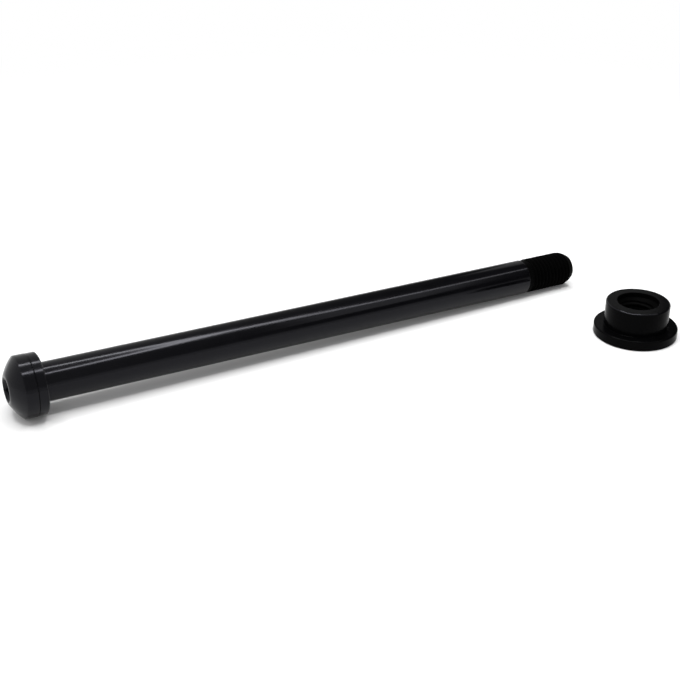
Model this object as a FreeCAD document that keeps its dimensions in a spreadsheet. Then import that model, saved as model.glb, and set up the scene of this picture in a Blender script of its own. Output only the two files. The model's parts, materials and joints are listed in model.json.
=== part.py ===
import FreeCAD, Part
import math
import os
import Sketcher

# Bicycle thru axle for a rear wheel, lying at rest beside its flanged nut. Millimetres, +Z up.
# The origin is the centre of the washer's seat face, on the axle's own axis.
# The axle lies along +X, head towards -X, and dips slightly to its threaded end,
# because the head is thicker than the thread and both rims touch the surface under it.

doc = FreeCAD.newDocument("thru_axle")
sheet = doc.addObject("Spreadsheet::Sheet", "Sheet")

DRIVING_SIZES = [
    # shaft and threaded end
    ("shaft_diameter", 12.0),
    ("under_head_length", 194.0),      # from the washer's seat face to the threaded end
    ("thread_diameter", 11.9),         # crests of the thread
    ("thread_pitch", 1.5),
    ("thread_length", 18.2),           # with the tapered tip
    ("relief_length", 1.8),            # plain neck between shaft and thread
    ("relief_depth", 0.2),             # how far the neck lies below the crests
    ("tip_taper_length", 3.1),
    ("tip_taper_depth", 1.45),
    ("tip_crown", 0.1),                # how far the tip bulges past a straight taper
    ("bore_diameter", 5.8),            # drilled right through to save weight
    ("bore_end_chamfer", 0.4),
    # head
    ("head_diameter", 19.1),
    ("head_rim_length", 3.55),         # cylindrical part of the head
    ("head_back_chamfer", 0.15),
    ("neck_depth", 0.25),              # relief turned under the washer, radial
    ("neck_short_of_seat", 0.1),       # how far the neck ends before the washer's seat face
    ("nose_length", 3.6),
    ("nose_crown", 0.3),               # how far the domed nose bulges past a straight cone
    ("nose_rim_width", 0.5),           # flat ring round the mouth of the socket
    ("socket_flats", 6.0),             # hexagon key size, across flats
    ("socket_depth", 8.0),
    ("socket_lead", 0.45),             # countersink past the hexagon's corners
    # thrust washer under the head
    ("washer_set_in", 0.1),            # how far its rim lies inside the head's, radial
    ("washer_thickness", 2.95),
    ("washer_clearance", 0.05),        # radial, on the shaft
    ("washer_play", 0.05),             # axial, against the head
    ("washer_front_chamfer", 0.15),
    ("washer_seat_chamfer", 0.35),
    # flanged nut
    ("nut_flange_diameter", 27.5),
    ("nut_flange_thickness", 3.4),
    ("nut_flange_chamfer", 0.3),
    ("nut_collar_diameter", 21.0),
    ("nut_collar_height", 8.35),       # above the flange
    ("nut_collar_chamfer", 0.4),
    ("nut_thread_clearance", 0.05),    # radial, between the two threads' crests and roots
    ("nut_mouth_diameter", 13.7),      # plain counterbore where the axle enters
    ("nut_mouth_depth", 1.6),
    ("nut_mouth_chamfer", 0.15),
    ("nut_base_chamfer", 0.9),
    ("nut_aside", 44.8),               # how far the nut stands beside the axle
    ("nut_short_of_end", 5.5),         # how far its axis is short of the threaded end
]
for row, (alias, number) in enumerate(DRIVING_SIZES, start=1):
    sheet.set(f"A{row}", alias)
    sheet.set(f"B{row}", str(number))
    sheet.setAlias(f"B{row}", alias)
doc.recompute()


def origin_plane(body, role):
    """The body's own origin plane of that role."""
    return next(f for f in body.Origin.OriginFeatures if f.Role == role)


def profile_sketch(body, name, corners, bulges=()):
    """A closed profile on the body's XZ plane, each corner placed by a pair of expressions.

    A bulge (corner number, crown expression) makes the side that starts at that corner an arc,
    which stands out from the straight side by the crown.
    """
    sketch = body.newObject("Sketcher::SketchObject", name)
    sketch.AttachmentSupport = [(origin_plane(body, "XZ_Plane"), "")]
    sketch.MapMode = "FlatFace"
    points = [FreeCAD.Vector(sheet.evalExpression(x), sheet.evalExpression(y), 0) for x, y in corners]
    crowns = dict(bulges)
    count = len(points)
    starts = []
    ends = []
    for i in range(count):
        first = points[i]
        last = points[(i + 1) % count]
        if i in crowns:
            chord = last - first
            outward = FreeCAD.Vector(-chord.y, chord.x, 0).normalize()
            middle = (first + last) * 0.5 + outward * sheet.evalExpression(crowns[i])
            sketch.addGeometry(Part.Arc(first, middle, last), False)
            # a sketch arc runs anticlockwise, so this clockwise side begins at the arc's end point
            starts.append(2)
            ends.append(1)
        else:
            sketch.addGeometry(Part.LineSegment(first, last), False)
            starts.append(1)
            ends.append(2)
    for i in range(count):
        following = (i + 1) % count
        sketch.addConstraint(Sketcher.Constraint("Coincident", i, ends[i], following, starts[following]))
    for i, (x, y) in enumerate(corners):
        for direction, axis, expression in (("DistanceX", -2, x), ("DistanceY", -1, y)):
            at = sheet.evalExpression(expression)
            if expression == "0":
                sketch.addConstraint(Sketcher.Constraint("PointOnObject", i, starts[i], axis))
                continue
            label = f"{direction}_{i}"
            index = sketch.addConstraint(Sketcher.Constraint(direction, -1, 1, i, starts[i], at))
            sketch.renameConstraint(index, label)
            sketch.setExpression(f"Constraints.{label}", expression)
    for i, crown in crowns.items():
        (x0, y0), (x1, y1) = corners[i], corners[(i + 1) % count]
        half_chord_squared = f"((({x1}) - ({x0}))^2 + (({y1}) - ({y0}))^2) / 4"
        radius = f"({half_chord_squared} + ({crown})^2) / (2 * ({crown}))"
        index = sketch.addConstraint(Sketcher.Constraint("Radius", i, sheet.evalExpression(radius)))
        sketch.renameConstraint(index, f"Radius_{i}")
        sketch.setExpression(f"Constraints.Radius_{i}", radius)
    return sketch


def turned_body(name, label, corners, axis, bulges=()):
    """A body turned from one profile about a sketch axis."""
    body = doc.addObject("PartDesign::Body", name)
    body.Label = label
    sketch = profile_sketch(body, f"{name}Profile", corners, bulges)
    turning = body.newObject("PartDesign::Revolution", f"{name}Turning")
    turning.Profile = sketch
    turning.ReferenceAxis = (sketch, [axis])
    turning.Angle = 360
    doc.recompute()
    return body


# The thread's ISO metric form: flanks 60 degrees apart, with flats on the crests and in the roots
ROOT_HALF_WIDTH = "(Sheet.thread_pitch / 8)"
FLANK_WIDTH = "(Sheet.thread_pitch * 5 / 16)"
THREAD_DEPTH = f"({FLANK_WIDTH} * sqrt(3))"
PAST_CREST = "1.1"      # the groove is drawn a tenth deeper than the thread, so that it cuts the crests cleanly


def cut_thread(body, middle, root_radius, crest_radius, travel, axis):
    """Cuts a right-hand thread into a turned body.

    The middle of the groove starts at one station of the body's axis and travels back along it.
    """
    mouth_half_width = f"({ROOT_HALF_WIDTH} + {FLANK_WIDTH} * {PAST_CREST})"
    mouth_radius = f"({root_radius} + ({crest_radius} - {root_radius}) * {PAST_CREST})"
    corners = [
        (f"{middle} - {ROOT_HALF_WIDTH}", root_radius),
        (f"{middle} - {mouth_half_width}", mouth_radius),
        (f"{middle} + {mouth_half_width}", mouth_radius),
        (f"{middle} + {ROOT_HALF_WIDTH}", root_radius),
    ]
    if axis == "V_Axis":
        corners = [(radius, along) for along, radius in corners]
    sketch = profile_sketch(body, f"{body.Name}Groove", corners)
    doc.recompute()
    uncut_volume = body.Shape.Volume
    thread = body.newObject("PartDesign::SubtractiveHelix", f"{body.Name}Thread")
    thread.Profile = sketch
    thread.ReferenceAxis = (sketch, [axis])
    thread.Mode = "pitch-height-angle"
    thread.Reversed = True
    thread.setExpression("Pitch", "Sheet.thread_pitch")
    thread.setExpression("Height", travel)
    doc.recompute()
    if not body.Shape.Volume < uncut_volume:
        raise RuntimeError(f"the thread cut nothing from {body.Label}")


# Stations along the axle, counted from the front of the nose, and radii
HEAD_FACE = "(Sheet.nose_length + Sheet.head_rim_length)"
WASHER_FRONT = f"({HEAD_FACE} + Sheet.washer_play)"
SEAT = f"({WASHER_FRONT} + Sheet.washer_thickness)"
END = f"({SEAT} + Sheet.under_head_length)"
THREAD_START = f"({END} - Sheet.thread_length)"
RELIEF_START = f"({THREAD_START} - Sheet.relief_length)"
NECK_END = f"({SEAT} - Sheet.neck_short_of_seat)"
HEAD_CONTACT = f"({HEAD_FACE} - Sheet.head_back_chamfer)"
TIP_CONTACT = f"({END} - Sheet.tip_taper_length)"
BORE_RADIUS = "(Sheet.bore_diameter / 2)"
SHAFT_RADIUS = "(Sheet.shaft_diameter / 2)"
NECK_RADIUS = f"({SHAFT_RADIUS} - Sheet.neck_depth)"
THREAD_RADIUS = "(Sheet.thread_diameter / 2)"
RELIEF_RADIUS = f"({THREAD_RADIUS} - Sheet.relief_depth)"
HEAD_RADIUS = "(Sheet.head_diameter / 2)"
SOCKET_CORNER_RADIUS = "(Sheet.socket_flats / sqrt(3))"
LEAD_RADIUS = f"({SOCKET_CORNER_RADIUS} + Sheet.socket_lead)"
NOSE_RADIUS = f"({LEAD_RADIUS} + Sheet.nose_rim_width)"

# The axle: head, shaft and thread turned from one aluminium bar and drilled through
axle = turned_body("Axle", "axle", [
    (f"{LEAD_RADIUS} - {BORE_RADIUS}", BORE_RADIUS),
    ("0", LEAD_RADIUS),
    ("0", NOSE_RADIUS),
    ("Sheet.nose_length", HEAD_RADIUS),
    (HEAD_CONTACT, HEAD_RADIUS),
    (HEAD_FACE, f"{HEAD_RADIUS} - Sheet.head_back_chamfer"),
    (HEAD_FACE, NECK_RADIUS),
    (f"{NECK_END} - Sheet.neck_depth", NECK_RADIUS),
    (NECK_END, SHAFT_RADIUS),
    (f"{RELIEF_START} - ({SHAFT_RADIUS} - {RELIEF_RADIUS})", SHAFT_RADIUS),
    (RELIEF_START, RELIEF_RADIUS),
    (f"{THREAD_START} - Sheet.relief_depth", RELIEF_RADIUS),
    (THREAD_START, THREAD_RADIUS),
    (TIP_CONTACT, THREAD_RADIUS),
    (END, f"{THREAD_RADIUS} - Sheet.tip_taper_depth"),
    (END, f"{BORE_RADIUS} + Sheet.bore_end_chamfer"),
    (f"{END} - Sheet.bore_end_chamfer", BORE_RADIUS),
], "H_Axis", bulges=[(2, "Sheet.nose_crown"), (13, "Sheet.tip_crown")])
turned_volume = axle.Shape.Volume

# Hexagon socket, broached into the nose
hexagon = axle.newObject("Sketcher::SketchObject", "SocketHexagon")
hexagon.AttachmentSupport = [(origin_plane(axle, "YZ_Plane"), "")]
hexagon.MapMode = "FlatFace"
corner_radius = sheet.evalExpression(SOCKET_CORNER_RADIUS)
top_corner = FreeCAD.Vector(0, corner_radius, 0)
SIDES = 6
SIDE_TURN = 360 / SIDES
corners = [FreeCAD.Rotation(FreeCAD.Vector(0, 0, 1), SIDE_TURN * i).multVec(top_corner) for i in range(SIDES)]
for i in range(SIDES):
    hexagon.addGeometry(Part.LineSegment(corners[i], corners[(i + 1) % SIDES]), False)
circle = hexagon.addGeometry(Part.Circle(FreeCAD.Vector(0, 0, 0), FreeCAD.Vector(0, 0, 1), corner_radius), True)
hexagon.addConstraint(Sketcher.Constraint("Coincident", circle, 3, -1, 1))
for i in range(SIDES):
    hexagon.addConstraint(Sketcher.Constraint("Coincident", i, 2, (i + 1) % SIDES, 1))
    hexagon.addConstraint(Sketcher.Constraint("PointOnObject", i, 1, circle))
for i in range(1, SIDES):
    hexagon.addConstraint(Sketcher.Constraint("Equal", 0, i))
hexagon.addConstraint(Sketcher.Constraint("PointOnObject", 0, 1, -2))
size = hexagon.addConstraint(Sketcher.Constraint("Radius", circle, corner_radius))
hexagon.renameConstraint(size, "CornerRadius")
hexagon.setExpression("Constraints.CornerRadius", SOCKET_CORNER_RADIUS)
socket = axle.newObject("PartDesign::Pocket", "Socket")
socket.Profile = hexagon
socket.Type = "Length"
socket.Reversed = True
socket.setExpression("Length", "Sheet.socket_depth")
doc.recompute()
if not axle.Shape.Volume < turned_volume:
    raise RuntimeError("the hexagon socket cut nothing from the head")

# Its thread starts off the tip and ends at the neck, with a crest under the axle where the tip's taper begins
TURNS_TO_TIP = "3"
GROOVE_START = f"({TIP_CONTACT} + {TURNS_TO_TIP} * Sheet.thread_pitch)"
cut_thread(axle, GROOVE_START, f"({THREAD_RADIUS} - {THREAD_DEPTH})", THREAD_RADIUS,
           f"{GROOVE_START} - {THREAD_START}", "H_Axis")

# The axle's place: the head's back rim and the thread's end rim lie on one level surface
DIP = f"atan(({HEAD_RADIUS} - {THREAD_RADIUS}) / ({TIP_CONTACT} - {HEAD_CONTACT}))"
dip_degrees = math.degrees(sheet.evalExpression(DIP).getValueAs("rad"))
axle.Placement = FreeCAD.Placement(FreeCAD.Vector(), FreeCAD.Rotation(FreeCAD.Vector(0, 1, 0), dip_degrees))
axle.setExpression("Placement.Rotation.Angle", DIP)
axle.setExpression("Placement.Base.x", f"-{SEAT} * cos({DIP})")
axle.setExpression("Placement.Base.z", f"{SEAT} * sin({DIP})")

# The thrust washer: a turned ring that spins freely between the head and the frame
WASHER_RADIUS = f"({HEAD_RADIUS} - Sheet.washer_set_in)"
WASHER_BORE_RADIUS = f"({SHAFT_RADIUS} + Sheet.washer_clearance)"
washer = turned_body("Washer", "head_washer", [
    (WASHER_FRONT, WASHER_BORE_RADIUS),
    (WASHER_FRONT, f"{WASHER_RADIUS} - Sheet.washer_front_chamfer"),
    (f"{WASHER_FRONT} + Sheet.washer_front_chamfer", WASHER_RADIUS),
    (f"{SEAT} - Sheet.washer_seat_chamfer", WASHER_RADIUS),
    (SEAT, f"{WASHER_RADIUS} - Sheet.washer_seat_chamfer"),
    (SEAT, WASHER_BORE_RADIUS),
], "H_Axis")
washer.setExpression("Placement", "Axle.Placement")

# The nut: a flange and a collar turned in one, threaded right through
FLANGE_RADIUS = "(Sheet.nut_flange_diameter / 2)"
COLLAR_RADIUS = "(Sheet.nut_collar_diameter / 2)"
NUT_ROOT_RADIUS = f"({THREAD_RADIUS} + Sheet.nut_thread_clearance)"
NUT_BORE_RADIUS = f"({NUT_ROOT_RADIUS} - {THREAD_DEPTH})"
MOUTH_RADIUS = "(Sheet.nut_mouth_diameter / 2)"
NUT_TOP = "(Sheet.nut_flange_thickness + Sheet.nut_collar_height)"
MOUTH_FLOOR = f"({NUT_TOP} - Sheet.nut_mouth_depth)"
nut = turned_body("Nut", "flange_nut", [
    (f"{NUT_BORE_RADIUS} + Sheet.nut_base_chamfer", "0"),
    (NUT_BORE_RADIUS, "Sheet.nut_base_chamfer"),
    (NUT_BORE_RADIUS, f"{MOUTH_FLOOR} - ({MOUTH_RADIUS} - {NUT_BORE_RADIUS})"),
    (MOUTH_RADIUS, MOUTH_FLOOR),
    (MOUTH_RADIUS, f"{NUT_TOP} - Sheet.nut_mouth_chamfer"),
    (f"{MOUTH_RADIUS} + Sheet.nut_mouth_chamfer", NUT_TOP),
    (f"{COLLAR_RADIUS} - Sheet.nut_collar_chamfer", NUT_TOP),
    (COLLAR_RADIUS, f"{NUT_TOP} - Sheet.nut_collar_chamfer"),
    (COLLAR_RADIUS, "Sheet.nut_flange_thickness"),
    (f"{FLANGE_RADIUS} - Sheet.nut_flange_chamfer", "Sheet.nut_flange_thickness"),
    (FLANGE_RADIUS, "Sheet.nut_flange_thickness - Sheet.nut_flange_chamfer"),
    (FLANGE_RADIUS, "Sheet.nut_flange_chamfer"),
    (f"{FLANGE_RADIUS} - Sheet.nut_flange_chamfer", "0"),
], "V_Axis")

# Its thread starts in the counterbore and runs out through the base
cut_thread(nut, MOUTH_FLOOR, NUT_ROOT_RADIUS, NUT_BORE_RADIUS, f"{MOUTH_FLOOR} + Sheet.thread_pitch", "V_Axis")

# The nut stands on its flange, on the surface that the axle lies on
nut.setExpression("Placement.Base.x", f"Sheet.under_head_length * cos({DIP}) - Sheet.nut_short_of_end")
nut.setExpression("Placement.Base.y", "-Sheet.nut_aside")
nut.setExpression("Placement.Base.z",
                  f"-({HEAD_RADIUS} * cos({DIP}) - ({SEAT} - {HEAD_CONTACT}) * sin({DIP}))")
doc.recompute()

failed = [o.Name for o in doc.Objects if "Invalid" in o.State or "Error" in o.State]
if failed:
    raise RuntimeError(f"failed objects: {failed}")
sub_parts = [axle, washer, nut]
for sub_part in sub_parts:
    if sub_part.Shape.isNull() or not sub_part.Shape.isValid():
        raise RuntimeError(f"{sub_part.Label} has no valid shape")
os.makedirs("parts", exist_ok=True)
for sub_part in sub_parts:
    sub_part.Shape.exportStep(f"parts/{sub_part.Label}.step")
    box = sub_part.Shape.optimalBoundingBox()
    print(sub_part.Label, f"{sub_part.Shape.Volume:.1f} mm3", f"z {box.ZMin:.4f} to {box.ZMax:.4f}",
          f"x {box.XMin:.3f} to {box.XMax:.3f}", f"y {box.YMin:.3f} to {box.YMax:.3f}")
print(f"dip {math.degrees(axle.Placement.Rotation.Angle):.4f} degrees")
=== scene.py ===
import json
import math

import bmesh
import bpy
from mathutils import Matrix, Vector


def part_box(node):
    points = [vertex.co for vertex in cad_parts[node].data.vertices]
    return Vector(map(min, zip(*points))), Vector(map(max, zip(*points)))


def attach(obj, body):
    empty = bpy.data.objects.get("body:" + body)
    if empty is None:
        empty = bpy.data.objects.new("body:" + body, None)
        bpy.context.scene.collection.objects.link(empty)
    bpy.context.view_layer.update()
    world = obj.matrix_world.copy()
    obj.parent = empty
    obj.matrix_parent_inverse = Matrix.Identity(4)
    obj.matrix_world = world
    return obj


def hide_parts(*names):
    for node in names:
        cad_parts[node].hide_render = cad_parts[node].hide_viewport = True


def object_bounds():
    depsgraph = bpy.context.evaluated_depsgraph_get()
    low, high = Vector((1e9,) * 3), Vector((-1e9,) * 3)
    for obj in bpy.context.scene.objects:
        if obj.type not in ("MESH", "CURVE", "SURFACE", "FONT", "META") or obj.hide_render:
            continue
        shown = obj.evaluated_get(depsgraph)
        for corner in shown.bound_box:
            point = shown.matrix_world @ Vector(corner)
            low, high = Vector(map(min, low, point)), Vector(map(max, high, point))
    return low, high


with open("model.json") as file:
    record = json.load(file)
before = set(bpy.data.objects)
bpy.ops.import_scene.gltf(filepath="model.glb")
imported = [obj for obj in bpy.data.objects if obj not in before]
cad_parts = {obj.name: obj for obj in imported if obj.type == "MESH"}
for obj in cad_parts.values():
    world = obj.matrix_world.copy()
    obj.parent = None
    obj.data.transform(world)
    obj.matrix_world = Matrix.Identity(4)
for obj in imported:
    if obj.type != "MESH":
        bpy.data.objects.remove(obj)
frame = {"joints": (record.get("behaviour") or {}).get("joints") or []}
cad_low, cad_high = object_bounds()

# The axle: head, shaft and threaded end, turned in one from a bar of aluminium alloy. It is drilled
# through, broached with a hexagon socket, polished and hard anodised black, and its thread is left matt.
# It lies on the rim of its head and the end of its thread, so its axis dips a little towards the thread.


def mm(length):
    """Millimetres in metres."""
    return length / 1000


# Stations along the axle's axis are counted from the washer's seat face, in millimetres
STEPS = 144                    # round the axis; a multiple of the hexagon's sides
HEX_SIDES = 6
HEX_WIDTH = 6.0                # across flats
HEX_CORNER_RADIUS = HEX_WIDTH / math.sqrt(3)
HEX_FLOOR = -2.15
COUNTERSINK = 0.45             # how far the socket's mouth widens past its corners
MOUTH_RADIUS = HEX_CORNER_RADIUS + COUNTERSINK
NOSE_LAND = 0.5                # the flat ring round the mouth
NOSE_RADIUS = MOUTH_RADIUS + NOSE_LAND
NOSE_FRONT = -10.15
NOSE_BACK = -6.55
NOSE_STEPS = 14
NOSE_CROWN = 0.3               # how far the domed nose bulges past a straight cone
HEAD_RADIUS = 9.55
HEAD_BACK = -3.0
HEAD_CHAMFER = 0.15
NECK_RADIUS = 5.75
NECK_END = -0.1
SHAFT_RADIUS = 6.0
SHAFT_END = 173.75
NECK_SLOPE = SHAFT_RADIUS - NECK_RADIUS
POLISHED_EDGE = 0.05           # how far polishing rounds a corner
BORE_RADIUS = 2.9
BORE_CHAMFER = 0.4
PITCH = 1.5
ROOT_HALF_WIDTH = PITCH / 8
FLANK_WIDTH = PITCH * 5 / 16
THREAD_DEPTH = FLANK_WIDTH * math.sqrt(3)
FLANK_CUTS = 3
CREST_RADIUS = 5.95
THREAD_START = 175.6
THREAD_TURNS = 14
TURNS_TO_TIP = 11              # from the first groove to the start of the tapered tip
RUN_IN_SLOPE = 0.45            # how fast the groove deepens from the neck
TIP_START = 190.9
TIP = 194.0
TIP_RADIUS = 4.5
TIP_CROWN = 0.1
SAME_PLACE = 0.002             # points nearer than this are one
SHARP = math.radians(28)       # edges that bend more than this stay sharp


def bulge(along, first, last, crown):
    """Radius at a station of an arc that joins two (along, radius) points, standing out from their line."""
    first = Vector(first)
    last = Vector(last)
    half_chord = (last - first).length / 2
    arc_radius = (half_chord ** 2 + crown ** 2) / (2 * crown)
    outward = Vector((first.y - last.y, last.x - first.x)).normalized()
    centre = (first + last) / 2 - outward * (arc_radius - crown)
    return centre.y + math.sqrt(arc_radius ** 2 - (along - centre.x) ** 2)


def outline(bm, stations):
    """Draws edges through (along, radius) stations, in millimetres, and returns their corners."""
    corners = [bm.verts.new((mm(along), 0, mm(radius))) for along, radius in stations]
    for pair in zip(corners, corners[1:]):
        bm.edges.new(pair)
    return corners


def round_corners(bm, corners, size):
    """Rounds corners of an outline, as a turning tool's nose or a polishing wheel leaves them."""
    bmesh.ops.bevel(bm, geom=corners, offset=mm(size), offset_type="OFFSET", affect="VERTICES",
                    segments=3, profile=0.5, material=-1)


def merge(bm):
    """Makes one point of those that lie at the same place."""
    bmesh.ops.remove_doubles(bm, verts=bm.verts, dist=mm(SAME_PLACE))


def turn(bm):
    """Turns every outline in the mesh once round the X axis."""
    merge(bm)
    bmesh.ops.spin(bm, geom=bm.verts[:] + bm.edges[:], cent=(0, 0, 0), axis=(1, 0, 0), angle=math.tau,
                   steps=STEPS, use_merge=True)


def thread_mesh(middle, root_radius, crest_radius, turns):
    """A right-hand thread as a mesh of its own.

    One pitch of its outline, with the groove's middle at the given station, is swept once round the axis
    along the helix, and that turn is repeated pitch by pitch.
    """
    bm = bmesh.new()
    crest_edge = ROOT_HALF_WIDTH + FLANK_WIDTH
    outline(bm, [
        (middle - PITCH / 2, crest_radius),
        (middle - crest_edge, crest_radius),
        (middle - ROOT_HALF_WIDTH, root_radius),
        (middle + ROOT_HALF_WIDTH, root_radius),
        (middle + crest_edge, crest_radius),
        (middle + PITCH / 2, crest_radius),
    ])
    edges = bm.edges[:]
    flanks = [edges[1], edges[3]]
    bmesh.ops.subdivide_edges(bm, edges=flanks, cuts=FLANK_CUTS)
    bmesh.ops.spin(bm, geom=bm.verts[:] + bm.edges[:], cent=(0, 0, 0), axis=(1, 0, 0),
                   dvec=(mm(PITCH / STEPS), 0, 0), angle=math.tau, steps=STEPS)
    one_turn = bm.faces[:]
    for number in range(1, turns):
        copies = bmesh.ops.duplicate(bm, geom=one_turn)["geom"]
        verts = [part for part in copies if isinstance(part, bmesh.types.BMVert)]
        bmesh.ops.translate(bm, verts=verts, vec=(mm(PITCH * number), 0, 0))
    return bm


def join(bm, added):
    """Joins another mesh to a mesh, where they meet."""
    mesh = bpy.data.meshes.new("added")
    added.to_mesh(mesh)
    added.free()
    bm.from_mesh(mesh)
    bpy.data.meshes.remove(mesh)
    merge(bm)


def set_ring(vert, along, radius):
    """Moves a vertex to a station and a radius, at its own angle round the X axis."""
    outward = vert.co.yz.normalized() * mm(radius)
    vert.co = (mm(along), outward.x, outward.y)


def rim(bm, along, radius):
    """The edges of the open ring at that station and radius."""
    near = mm(0.02)
    return [edge for edge in bm.edges if edge.is_boundary and all(
        abs(vert.co.x - mm(along)) < near and abs(vert.co.yz.length - mm(radius)) < near
        for vert in edge.verts)]


def new_object(name, bm, *materials):
    """Makes an object of a mesh, with those materials."""
    mesh = bpy.data.meshes.new(name)
    bm.to_mesh(mesh)
    bm.free()
    for material in materials:
        mesh.materials.append(material)
    thing = bpy.data.objects.new(name, mesh)
    bpy.context.scene.collection.objects.link(thing)
    return thing


def make_piece(name, bm, place, *materials):
    """Closes a turned mesh, sets it in its place and makes it a smooth object with sharp edges."""
    merge(bm)
    bmesh.ops.recalc_face_normals(bm, faces=bm.faces)
    bmesh.ops.transform(bm, matrix=place, verts=bm.verts)
    for face in bm.faces:
        face.smooth = True
    for edge in bm.edges:
        edge.smooth = edge.is_manifold and edge.calc_face_angle() < SHARP
    piece = new_object(name, bm, *materials)
    even_shading = piece.modifiers.new("even_shading", "WEIGHTED_NORMAL")
    even_shading.keep_sharp = True
    return piece


axle = bmesh.new()
nose_front = (NOSE_FRONT, NOSE_RADIUS)
nose_back = (NOSE_BACK, HEAD_RADIUS)
nose_stations = [NOSE_FRONT + (NOSE_BACK - NOSE_FRONT) * i / NOSE_STEPS for i in range(NOSE_STEPS)]
nose = [(along, bulge(along, nose_front, nose_back, NOSE_CROWN)) for along in nose_stations]
outline(axle, [(NOSE_FRONT, MOUTH_RADIUS)] + nose + [nose_back])
bar = outline(axle, [
    nose_back,
    (HEAD_BACK - HEAD_CHAMFER, HEAD_RADIUS),
    (HEAD_BACK, HEAD_RADIUS - HEAD_CHAMFER),
    (HEAD_BACK, NECK_RADIUS),
    (NECK_END - NECK_SLOPE, NECK_RADIUS),
    (NECK_END, SHAFT_RADIUS),
    (SHAFT_END, SHAFT_RADIUS),
    (SHAFT_END + NECK_SLOPE, NECK_RADIUS),
    (THREAD_START, NECK_RADIUS),
])
outline(axle, [
    (HEX_FLOOR, BORE_RADIUS),
    (TIP - BORE_CHAMFER, BORE_RADIUS),
    (TIP, BORE_RADIUS + BORE_CHAMFER),
    (TIP, TIP_RADIUS),
])
head_corners = bar[1:3]
shaft_end_corners = bar[6:8]
round_corners(axle, head_corners + shaft_end_corners, POLISHED_EDGE)
turn(axle)

# The thread fades in from the neck and runs out on the tapered tip
first_groove = TIP_START - TURNS_TO_TIP * PITCH
thread = thread_mesh(first_groove, CREST_RADIUS - THREAD_DEPTH, CREST_RADIUS, THREAD_TURNS)
for vert in thread.verts:
    along = min(max(vert.co.x / mm(1), THREAD_START), TIP)
    lowest = NECK_RADIUS - RUN_IN_SLOPE * (along - THREAD_START)
    highest = NECK_RADIUS + along - THREAD_START
    if along > TIP_START:
        highest = bulge(along, (TIP_START, CREST_RADIUS), (TIP, TIP_RADIUS), TIP_CROWN)
    set_ring(vert, along, min(max(vert.co.yz.length / mm(1), lowest), highest))
join(axle, thread)

# The hexagon socket: its mouth runs up the countersink, and its floor is a ledge round the bore
corner = axle.verts.new((0, 0, mm(HEX_CORNER_RADIUS)))
bmesh.ops.spin(axle, geom=[corner], cent=(0, 0, 0), axis=(1, 0, 0), angle=math.tau, steps=HEX_SIDES,
               use_merge=True)
sides = [edge for edge in axle.edges if edge.is_wire]
bmesh.ops.subdivide_edges(axle, edges=sides, cuts=STEPS // HEX_SIDES - 1)
mouth = [edge for edge in axle.edges if edge.is_wire]
for vert in {vert for edge in mouth for vert in edge.verts}:
    vert.co.x = mm(NOSE_FRONT + MOUTH_RADIUS) - vert.co.yz.length
walls = bmesh.ops.extrude_edge_only(axle, edges=mouth)["geom"]
for vert in [part for part in walls if isinstance(part, bmesh.types.BMVert)]:
    vert.co.x = mm(HEX_FLOOR)
foot = [part for part in walls if isinstance(part, bmesh.types.BMEdge) and part.is_boundary]
bmesh.ops.bridge_loops(axle, edges=rim(axle, NOSE_FRONT, MOUTH_RADIUS) + mouth)
bmesh.ops.bridge_loops(axle, edges=rim(axle, HEX_FLOOR, BORE_RADIUS) + foot)

# All is polished up to the shaft's end, and matt from there on
for face in axle.faces:
    face.material_index = int(face.calc_center_median().x > mm(SHAFT_END))


def linear(colour):
    """An sRGB hex colour as the linear RGBA that a shader takes."""
    channels = [int(colour[i:i + 2], 16) / 255 for i in (1, 3, 5)]
    return [c / 12.92 if c <= 0.04045 else ((c + 0.055) / 1.055) ** 2.4 for c in channels] + [1]


def new_material(name):
    """A new material, with its node tree and its shader."""
    material = bpy.data.materials.new(name)
    material.use_nodes = True
    return material, material.node_tree, material.node_tree.nodes["Principled BSDF"]


def add_node(tree, kind, inputs=None, **settings):
    """Adds a node with its settings, and gives each named or numbered input a value or a link."""
    node = tree.nodes.new(kind)
    for name, setting in settings.items():
        setattr(node, name, setting)
    for name, value in (inputs or {}).items():
        if isinstance(value, bpy.types.NodeSocket):
            tree.links.new(value, node.inputs[name])
        else:
            node.inputs[name].default_value = value
    return node


def per_mm(size):
    """The texture scale that gives a pattern of that size in millimetres."""
    return 1 / mm(size)


# Hard anodised aluminium, dyed black and sealed over a polished turning: a deep black with a clear gloss
# and the dye's faint violet in its reflections, a little cloudy where hands and cloths have rubbed it.
# It mirrors more weakly than solid oxide would, and so stays black beside the white paper.
CLOUD_SIZE = 7.0
RUB_SIZE = 1.6
gloss_black, tree, shader = new_material("gloss_black_anodised_aluminium")
place = add_node(tree, "ShaderNodeTexCoord").outputs["Object"]
clouds = add_node(tree, "ShaderNodeTexNoise", {"Vector": place, "Scale": per_mm(CLOUD_SIZE), "Detail": 4})
dye = add_node(tree, "ShaderNodeValToRGB", {"Fac": clouds.outputs["Fac"]})
dye.color_ramp.elements[0].color = linear("#030304")
dye.color_ramp.elements[1].color = linear("#08080a")
rubbed = add_node(tree, "ShaderNodeTexNoise", {"Vector": place, "Scale": per_mm(RUB_SIZE), "Detail": 3})
roughness = add_node(tree, "ShaderNodeMapRange", {
    "Value": rubbed.outputs["Fac"], "To Min": 0.12, "To Max": 0.17})
tree.links.new(dye.outputs["Color"], shader.inputs["Base Color"])
tree.links.new(roughness.outputs["Result"], shader.inputs["Roughness"])
shader.inputs["IOR"].default_value = 1.25
shader.inputs["Specular Tint"].default_value = linear("#f0f0fc")

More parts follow.
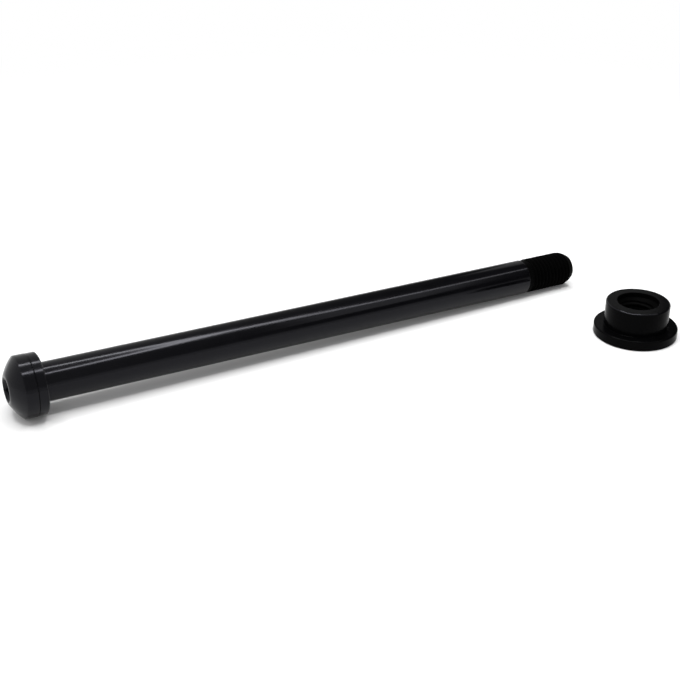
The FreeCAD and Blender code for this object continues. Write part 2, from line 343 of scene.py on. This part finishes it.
# The cut thread, anodised with the rest but never polished: dull black, with the cutter's fine tearing.
TEAR_SIZE = 0.35
TEAR_DEPTH = 0.02
matt_black, tree, shader = new_material("matt_black_cut_thread")
place = add_node(tree, "ShaderNodeTexCoord").outputs["Object"]
tearing = add_node(tree, "ShaderNodeTexNoise", {"Vector": place, "Scale": per_mm(TEAR_SIZE), "Detail": 3})
dye = add_node(tree, "ShaderNodeValToRGB", {"Fac": tearing.outputs["Fac"]})
dye.color_ramp.elements[0].color = linear("#010101")
dye.color_ramp.elements[1].color = linear("#050505")
torn = add_node(tree, "ShaderNodeBump", {
    "Height": tearing.outputs["Fac"], "Distance": mm(TEAR_DEPTH), "Strength": 0.4})
tree.links.new(dye.outputs["Color"], shader.inputs["Base Color"])
tree.links.new(torn.outputs["Normal"], shader.inputs["Normal"])
shader.inputs["Roughness"].default_value = 0.5
shader.inputs["IOR"].default_value = 1.06

spin_axis = Vector(frame["joints"][0]["axis"])
lie = Vector((1, 0, 0)).rotation_difference(spin_axis).to_matrix().to_4x4()
axle = make_piece("turned_axle", axle, lie, gloss_black, matt_black)
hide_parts("axle")
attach(axle, "axle_body")

# The thrust washer: a ring of the same alloy, turned and black anodised, loose on the neck behind the head.
# It stays still against the frame while the head is screwed down, and its rim lies just inside the head's.
WASHER_FRONT = -2.95
WASHER_RADIUS = 9.45
WASHER_BORE_RADIUS = 6.05
FRONT_CHAMFER = 0.15
SEAT_CHAMFER = 0.35
washer = bmesh.new()
ring = outline(washer, [
    (WASHER_FRONT, WASHER_BORE_RADIUS),
    (WASHER_FRONT, WASHER_RADIUS - FRONT_CHAMFER),
    (WASHER_FRONT + FRONT_CHAMFER, WASHER_RADIUS),
    (-SEAT_CHAMFER, WASHER_RADIUS),
    (0, WASHER_RADIUS - SEAT_CHAMFER),
    (0, WASHER_BORE_RADIUS),
    (WASHER_FRONT, WASHER_BORE_RADIUS),
])
rim_corners = ring[1:5]
round_corners(washer, rim_corners, POLISHED_EDGE)
turn(washer)
washer = make_piece("thrust_washer", washer, lie, gloss_black)
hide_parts("head_washer")
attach(washer, "washer_body")

# The nut: a flange and a collar turned in one from aluminium alloy, threaded right through and anodised
# black. It is screwed on the axle's end, collar first, and stands here on its flange.
# Stations along its axis are heights above its base.
NUT_ROOT_RADIUS = 6.0
NUT_CREST_RADIUS = NUT_ROOT_RADIUS - THREAD_DEPTH
NUT_TURNS = 8
TURNS_TO_MOUTH = 7.5           # from the first groove to the mouth's floor
NUT_BASE_CHAMFER = 0.9
NUT_MOUTH_FLOOR = 10.15
NUT_MOUTH_RADIUS = 6.85
NUT_MOUTH_CHAMFER = 0.15
NUT_TOP = 11.75
COLLAR_RADIUS = 10.5
COLLAR_CHAMFER = 0.4
FLANGE_RADIUS = 13.75
FLANGE_TOP = 3.4
FLANGE_CHAMFER = 0.3
NUT_EDGE = 0.14                # how far its outer corners are rounded
HOLE_FINISH = 1                # places in the nut's row of materials, where its body's is 0
EDGE_FINISH = 2
nut = bmesh.new()
body = outline(nut, [
    (NUT_MOUTH_FLOOR, NUT_MOUTH_RADIUS),
    (NUT_TOP - NUT_MOUTH_CHAMFER, NUT_MOUTH_RADIUS),
    (NUT_TOP, NUT_MOUTH_RADIUS + NUT_MOUTH_CHAMFER),
    (NUT_TOP, COLLAR_RADIUS - COLLAR_CHAMFER),
    (NUT_TOP - COLLAR_CHAMFER, COLLAR_RADIUS),
    (FLANGE_TOP, COLLAR_RADIUS),
    (FLANGE_TOP, FLANGE_RADIUS - FLANGE_CHAMFER),
    (FLANGE_TOP - FLANGE_CHAMFER, FLANGE_RADIUS),
    (FLANGE_CHAMFER, FLANGE_RADIUS),
    (0, FLANGE_RADIUS - FLANGE_CHAMFER),
    (0, NUT_CREST_RADIUS + NUT_BASE_CHAMFER),
])
mouth_corners = body[1:3]
outer_corners = body[3:10]
round_corners(nut, mouth_corners, POLISHED_EDGE)
round_corners(nut, outer_corners, NUT_EDGE)
turn(nut)

# Its thread starts in the mouth, whose floor slopes down to the crests, and runs out at the base's chamfer
first_groove = NUT_MOUTH_FLOOR - TURNS_TO_MOUTH * PITCH
thread = thread_mesh(first_groove, NUT_ROOT_RADIUS, NUT_CREST_RADIUS, NUT_TURNS)
for vert in thread.verts:
    along = min(max(vert.co.x / mm(1), 0), NUT_MOUTH_FLOOR)
    base_chamfer = NUT_CREST_RADIUS + NUT_BASE_CHAMFER - along
    mouth_slope = NUT_MOUTH_RADIUS - NUT_MOUTH_FLOOR + along
    set_ring(vert, along, max(vert.co.yz.length / mm(1), base_chamfer, mouth_slope))
join(nut, thread)

# The hole is matt like the axle's thread, and the collar's top edge is glossy like the axle's head
for face in nut.faces:
    height = face.calc_center_median().x
    radius = face.calc_center_median().yz.length
    if radius < mm(NUT_MOUTH_RADIUS + NUT_MOUTH_CHAMFER / 2):
        face.material_index = HOLE_FINISH
    elif radius > mm(COLLAR_RADIUS - COLLAR_CHAMFER) and height > mm(NUT_TOP - COLLAR_CHAMFER):
        face.material_index = EDGE_FINISH

nut_low, nut_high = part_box("flange_nut")
nut_centre = (nut_low + nut_high) / 2

# The nut's anodising is a satin black over a plain turning: every face shows the fine rings that the tool
# left round the axis. It mirrors less than the axle's polish.
TURNING_FEED = 0.15            # millimetres from ring to ring
RING_DEPTH = 0.002
NUT_CLOUD_SIZE = 3.0
satin_black, tree, shader = new_material("satin_black_anodised_aluminium")
place = add_node(tree, "ShaderNodeTexCoord").outputs["Object"]
clouds = add_node(tree, "ShaderNodeTexNoise", {
    "Vector": place, "Scale": per_mm(NUT_CLOUD_SIZE), "Detail": 4})
dye = add_node(tree, "ShaderNodeValToRGB", {"Fac": clouds.outputs["Fac"]})
dye.color_ramp.elements[0].color = linear("#020202")
dye.color_ramp.elements[1].color = linear("#050506")
roughness = add_node(tree, "ShaderNodeMapRange", {
    "Value": clouds.outputs["Fac"], "To Min": 0.14, "To Max": 0.22})
tree.links.new(dye.outputs["Color"], shader.inputs["Base Color"])
tree.links.new(roughness.outputs["Result"], shader.inputs["Roughness"])
shader.inputs["IOR"].default_value = 1.08
from_axis = add_node(tree, "ShaderNodeVectorMath", {0: place, 1: (nut_centre.x, nut_centre.y, 0)},
                     operation="SUBTRACT")
parts = add_node(tree, "ShaderNodeSeparateXYZ", {"Vector": from_axis.outputs["Vector"]})
flat = add_node(tree, "ShaderNodeCombineXYZ", {"X": parts.outputs["X"], "Y": parts.outputs["Y"]})
radius = add_node(tree, "ShaderNodeVectorMath", {0: flat.outputs["Vector"]}, operation="LENGTH")
travel = add_node(tree, "ShaderNodeMath", {0: radius.outputs["Value"], 1: parts.outputs["Z"]},
                  operation="ADD")
turns = add_node(tree, "ShaderNodeMath", {0: travel.outputs["Value"], 1: math.tau * per_mm(TURNING_FEED)},
                 operation="MULTIPLY")
rings = add_node(tree, "ShaderNodeMath", {0: turns.outputs["Value"]}, operation="SINE")
turned = add_node(tree, "ShaderNodeBump", {
    "Height": rings.outputs["Value"], "Distance": mm(RING_DEPTH), "Strength": 0.5})
tree.links.new(turned.outputs["Normal"], shader.inputs["Normal"])

upright = Matrix.Rotation(math.radians(-90), 4, "Y")
stand = Matrix.Translation((nut_centre.x, nut_centre.y, nut_low.z)) @ upright
nut = make_piece("turned_flange_nut", nut, stand, satin_black, matt_black, gloss_black)
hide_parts("flange_nut")
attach(nut, "axle_body")

# The floor: a wide sheet of matt white paper, on which the axle and the nut rest. Away from them, where the
# lamps don't reach, it shows white to the camera and in the metal, and beside them it keeps their shadow.
FLOOR_HALF = 20.0
SHADOW_REACH = (0.15, 0.45)    # distances from the middle where the paper's own light starts and is full
OWN_LIGHT = (0.03, 1.0)        # its share at those distances
floor = bmesh.new()
bmesh.ops.create_grid(floor, x_segments=1, y_segments=1, size=FLOOR_HALF,
                      matrix=Matrix.Translation((0, 0, cad_low.z)))
white_paper, tree, shader = new_material("white_paper")
shader.inputs["Base Color"].default_value = linear("#e6e6e6")
shader.inputs["Roughness"].default_value = 0.9
shader.inputs["Specular IOR Level"].default_value = 0
place = add_node(tree, "ShaderNodeTexCoord").outputs["Object"]
middle = (cad_low + cad_high) / 2
away = add_node(tree, "ShaderNodeVectorMath", {0: place, 1: (middle.x, middle.y, cad_low.z)},
                operation="DISTANCE")
share = add_node(tree, "ShaderNodeMapRange", {
    "Value": away.outputs["Value"], "From Min": SHADOW_REACH[0], "From Max": SHADOW_REACH[1],
    "To Min": OWN_LIGHT[0], "To Max": OWN_LIGHT[1]}, interpolation_type="SMOOTHSTEP")
path = add_node(tree, "ShaderNodeLightPath").outputs
seen = add_node(tree, "ShaderNodeMath", {0: path["Is Camera Ray"], 1: path["Is Glossy Ray"]})
seen = add_node(tree, "ShaderNodeMath", {0: seen.outputs["Value"], 1: path["Is Transmission Ray"]},
                use_clamp=True)
shown = add_node(tree, "ShaderNodeMath", {0: share.outputs["Result"], 1: seen.outputs["Value"]},
                 operation="MULTIPLY")
white = add_node(tree, "ShaderNodeEmission", {"Color": linear("#ffffff"), "Strength": 1.0})
paper = add_node(tree, "ShaderNodeMixShader", {
    0: shown.outputs["Value"], 1: shader.outputs["BSDF"], 2: white.outputs["Emission"]})
tree.links.new(paper.outputs["Shader"], tree.nodes["Material Output"].inputs["Surface"])
floor = new_object("floor", floor, white_paper)

# The studio: walls that are white all round at their foot, where the floor ends, and above it darken to
# the right and to the front. A ring lamp hangs overhead, a row of lamps runs off to the right from it, ever
# dimmer, and a small pale card stands behind the nut, where the camera sees it mirrored in the nut's top.
FOOT = (0.12, 0.2)             # how far up, as the Z of a direction, the white foot starts to fade and ends
RIGHT = (0.05, 0.55)           # how far to the right, as its X, the walls start to darken and are darkest
RIGHT_LEVEL = 0.05
FRONT = (-0.5, 0.1)            # how far to the front, as its Y, they are darkest and start to darken
FRONT_LEVEL = 0.65
world = bpy.data.worlds.new("studio_walls")
bpy.context.scene.world = world
world.use_nodes = True
tree = world.node_tree
direction = add_node(tree, "ShaderNodeTexCoord").outputs["Generated"]
parts = add_node(tree, "ShaderNodeSeparateXYZ", {"Vector": direction})
sideways = add_node(tree, "ShaderNodeMapRange", {
    "Value": parts.outputs["X"], "From Min": RIGHT[0], "From Max": RIGHT[1],
    "To Min": 1.0, "To Max": RIGHT_LEVEL}, interpolation_type="SMOOTHSTEP")
frontward = add_node(tree, "ShaderNodeMapRange", {
    "Value": parts.outputs["Y"], "From Min": FRONT[0], "From Max": FRONT[1],
    "To Min": FRONT_LEVEL, "To Max": 1.0}, interpolation_type="SMOOTHSTEP")
walls = add_node(tree, "ShaderNodeMath", {0: sideways.outputs["Result"], 1: frontward.outputs["Result"]},
                 operation="MULTIPLY")
strength = add_node(tree, "ShaderNodeMapRange", {
    "Value": parts.outputs["Z"], "From Min": FOOT[0], "From Max": FOOT[1],
    "To Min": 1.0, "To Max": walls.outputs["Value"]})
tree.links.new(strength.outputs["Result"], tree.nodes["Background"].inputs["Strength"])
tree.nodes["Background"].inputs["Color"].default_value = linear("#ffffff")

LAMP_HEIGHT = 0.6
LAMP_WIDTH = 0.06
RING_CENTRE = (0.045, 0)
RING_RADIUS = 0.217
RING_RADIANCE = 19.0
RING_SEGMENTS = 96
ring_lamp = bmesh.new()
for radius in (RING_RADIUS - LAMP_WIDTH / 2, RING_RADIUS + LAMP_WIDTH / 2):
    bmesh.ops.create_circle(ring_lamp, radius=radius, segments=RING_SEGMENTS)
bmesh.ops.bridge_loops(ring_lamp, edges=ring_lamp.edges)
bmesh.ops.translate(ring_lamp, verts=ring_lamp.verts, vec=(*RING_CENTRE, LAMP_HEIGHT))
lamp_glow, tree, shader = new_material("lamp_glow")
glow = add_node(tree, "ShaderNodeEmission", {"Strength": RING_RADIANCE})
tree.links.new(glow.outputs["Emission"], tree.nodes["Material Output"].inputs["Surface"])
ring_lamp = new_object("ring_lamp", ring_lamp, lamp_glow)
ring_lamp.visible_camera = False


def hang_lamp(name, location, rotation, length, width, radiance):
    """Hangs a flat lamp of that radiance, which the camera doesn't see."""
    lamp = bpy.data.lights.new(name, "AREA")
    lamp.shape = "RECTANGLE"
    lamp.size = length
    lamp.size_y = width
    lamp.energy = radiance * math.pi * length * width
    lamp = bpy.data.objects.new(name, lamp)
    lamp.location = location
    lamp.rotation_euler = rotation
    lamp.visible_camera = False
    bpy.context.scene.collection.objects.link(lamp)


# Each lamp of the row runs from one place on the ceiling to another, with its width and radiance, and the
# last is a wide dim one that reaches to the front
ROW_LAMPS = [
    ((0.28, 0.005), (0.31, 0.01), LAMP_WIDTH, RING_RADIANCE),
    ((0.31, 0.01), (0.36, -0.09), LAMP_WIDTH, 15.0),
    ((0.36, -0.09), (0.44, -0.185), LAMP_WIDTH, 12.0),
    ((0.44, -0.185), (0.54, -0.2), LAMP_WIDTH, 10.0),
    ((0.54, -0.2), (0.63, -0.165), LAMP_WIDTH, 6.0),
    ((0.63, -0.165), (0.8, -0.15), LAMP_WIDTH, 4.0),
    ((0.47, -0.24), (0.66, -0.84), 0.2, 1.3),
]
for number, (start, end, width, radiance) in enumerate(ROW_LAMPS):
    start = Vector((*start, LAMP_HEIGHT))
    end = Vector((*end, LAMP_HEIGHT))
    heading = math.atan2(end.y - start.y, end.x - start.x)
    length = (end - start).length
    hang_lamp(f"row_lamp_{number}", (start + end) / 2, (0, 0, heading), length, width, radiance)

CARD_SIZE = 0.07
CARD_DISTANCE = 0.15
CARD_RADIANCE = 0.6
CARD_DIRECTION = (0.49, 0.74, 0.46)    # from the nut: to the right, back and up
to_card = Vector(CARD_DIRECTION).normalized()
card_place = nut_centre + to_card * CARD_DISTANCE
card_turn = to_card.to_track_quat("Z", "Y").to_euler()
hang_lamp("nut_card", card_place, card_turn, CARD_SIZE, CARD_SIZE, CARD_RADIANCE)

# The camera: in front of the axle, nearer its head, and a little above it. It looks down and to the right,
# along the axle towards the nut.
CAMERA_DOWN = 26.987           # degrees below level
CAMERA_RIGHT = 28.7885         # degrees to the right of +Y
camera = bpy.data.cameras.new("camera")
camera.sensor_width = 36
camera.lens = 62.763
camera = bpy.data.objects.new("camera", camera)
camera.location = (-0.06960, -0.30910, 0.16906)
camera.rotation_euler = (math.radians(90 - CAMERA_DOWN), 0, math.radians(-CAMERA_RIGHT))
bpy.context.scene.collection.objects.link(camera)
bpy.context.scene.camera = camera
bpy.context.scene.view_settings.view_transform = "Standard"
